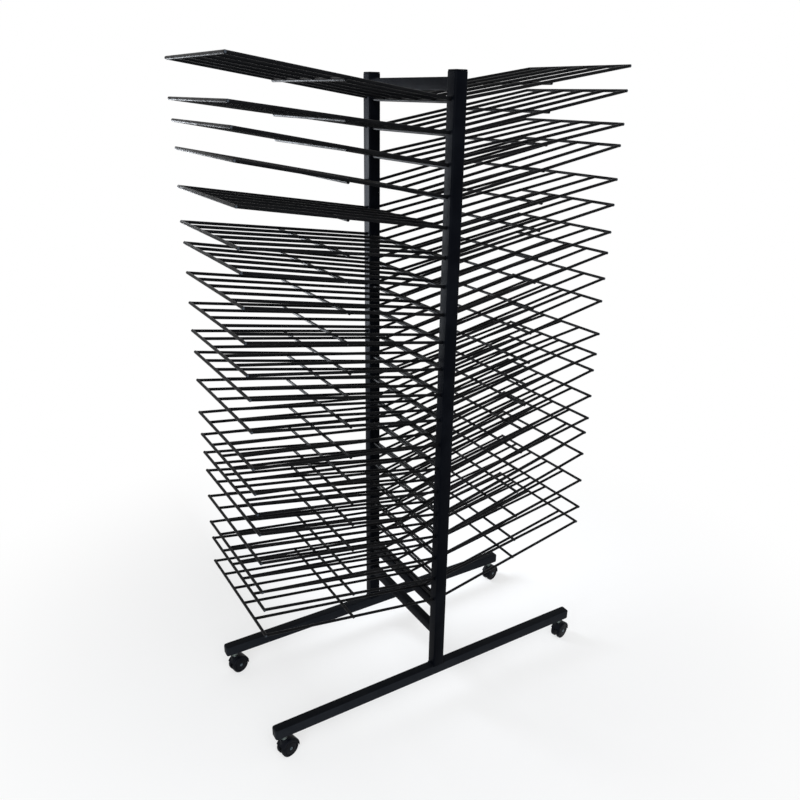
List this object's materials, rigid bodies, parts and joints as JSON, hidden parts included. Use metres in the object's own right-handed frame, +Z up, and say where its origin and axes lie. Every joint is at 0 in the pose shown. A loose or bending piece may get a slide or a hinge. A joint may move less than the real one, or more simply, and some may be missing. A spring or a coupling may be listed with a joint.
{
  "type": "art drying rack",
  "caption": "Double-sided rolling drying rack: two square posts on foot bars with twin-wheel casters carry wire shelves that rise outwards on both sides for wet artwork.",
  "frame": {"origin": "floor level under the middle of the rack, midway between the two posts", "axes": "+Z up, +X along the feet towards the right-hand shelves, +Y from the front post to the rear post"},
  "size_m": [0.9384, 0.3819, 1.5433],
  "materials": {
    "black_powder_coat": "black semi-gloss powder coat on square steel tube",
    "black_wire": "black semi-gloss powder coat on round steel wire",
    "black_nylon": "black moulded nylon, slightly shiny",
    "black_tread": "dark moulded wheel, matt",
    "zinc_steel": "bright zinc plating"
  },
  "bodies": {
    "frame": {"front_post": "black_powder_coat", "rear_post": "black_powder_coat", "front_foot": "black_powder_coat", "rear_foot": "black_powder_coat", "top_cross_bar": "black_powder_coat", "lower_cross_bar": "black_powder_coat", "bottom_cross_bar": "black_powder_coat", "shelf_left_01": "black_wire", "shelf_left_02": "black_wire", "shelf_left_03": "black_wire", "shelf_left_04": "black_wire", "shelf_left_05": "black_wire", "shelf_left_06": "black_wire", "shelf_left_07": "black_wire", "shelf_left_08": "black_wire", "shelf_left_09": "black_wire", "shelf_left_10": "black_wire", "shelf_left_11": "black_wire", "shelf_left_12": "black_wire", "shelf_left_13": "black_wire", "shelf_left_14": "black_wire", "shelf_left_15": "black_wire", "shelf_left_16": "black_wire", "shelf_left_17": "black_wire", "shelf_left_18": "black_wire", "shelf_left_19": "black_wire", "shelf_left_20": "black_wire", "shelf_right_01": "black_wire", "shelf_right_02": "black_wire", "shelf_right_03": "black_wire", "shelf_right_04": "black_wire", "shelf_right_05": "black_wire", "shelf_right_06": "black_wire", "shelf_right_07": "black_wire", "shelf_right_08": "black_wire", "shelf_right_09": "black_wire", "shelf_right_10": "black_wire", "shelf_right_11": "black_wire", "shelf_right_12": "black_wire", "shelf_right_13": "black_wire", "shelf_right_14": "black_wire", "shelf_right_15": "black_wire", "shelf_right_16": "black_wire", "shelf_right_17": "black_wire", "shelf_right_18": "black_wire", "shelf_right_19": "black_wire", "shelf_right_20": "black_wire", "caster_front_left_stem": "zinc_steel", "caster_front_right_stem": "zinc_steel", "caster_rear_left_stem": "zinc_steel", "caster_rear_right_stem": "zinc_steel"},
    "caster_front_left_hood_body": {"caster_front_left_hood": "black_nylon"},
    "caster_front_left_wheel_body": {"caster_front_left_wheels": "black_tread"},
    "caster_front_right_hood_body": {"caster_front_right_hood": "black_nylon"},
    "caster_front_right_wheel_body": {"caster_front_right_wheels": "black_tread"},
    "caster_rear_left_hood_body": {"caster_rear_left_hood": "black_nylon"},
    "caster_rear_left_wheel_body": {"caster_rear_left_wheels": "black_tread"},
    "caster_rear_right_hood_body": {"caster_rear_right_hood": "black_nylon"},
    "caster_rear_right_wheel_body": {"caster_rear_right_wheels": "black_tread"}
  },
  "joints": [
    {"name": "caster_front_left_swivel", "type": "hinge", "parent": "frame", "child": "caster_front_left_hood_body", "pos_m": [-0.433, -0.17, 0.055], "axis": [0, 0, 1], "continuous": true},
    {"name": "caster_front_left_roll", "type": "hinge", "parent": "caster_front_left_hood_body", "child": "caster_front_left_wheel_body", "pos_m": [-0.42334, -0.16741, 0.023], "axis": [-0.2588, 0.9659, 0], "continuous": true},
    {"name": "caster_front_right_swivel", "type": "hinge", "parent": "frame", "child": "caster_front_right_hood_body", "pos_m": [0.433, -0.17, 0.055], "axis": [0, 0, 1], "continuous": true},
    {"name": "caster_front_right_roll", "type": "hinge", "parent": "caster_front_right_hood_body", "child": "caster_front_right_wheel_body", "pos_m": [0.44266, -0.16741, 0.023], "axis": [-0.2588, 0.9659, 0], "continuous": true},
    {"name": "caster_rear_left_swivel", "type": "hinge", "parent": "frame", "child": "caster_rear_left_hood_body", "pos_m": [-0.433, 0.17, 0.055], "axis": [0, 0, 1], "continuous": true},
    {"name": "caster_rear_left_roll", "type": "hinge", "parent": "caster_rear_left_hood_body", "child": "caster_rear_left_wheel_body", "pos_m": [-0.42334, 0.17259, 0.023], "axis": [-0.2588, 0.9659, 0], "continuous": true},
    {"name": "caster_rear_right_swivel", "type": "hinge", "parent": "frame", "child": "caster_rear_right_hood_body", "pos_m": [0.433, 0.17, 0.055], "axis": [0, 0, 1], "continuous": true},
    {"name": "caster_rear_right_roll", "type": "hinge", "parent": "caster_rear_right_hood_body", "child": "caster_rear_right_wheel_body", "pos_m": [0.44266, 0.17259, 0.023], "axis": [-0.2588, 0.9659, 0], "continuous": true}
  ]
}
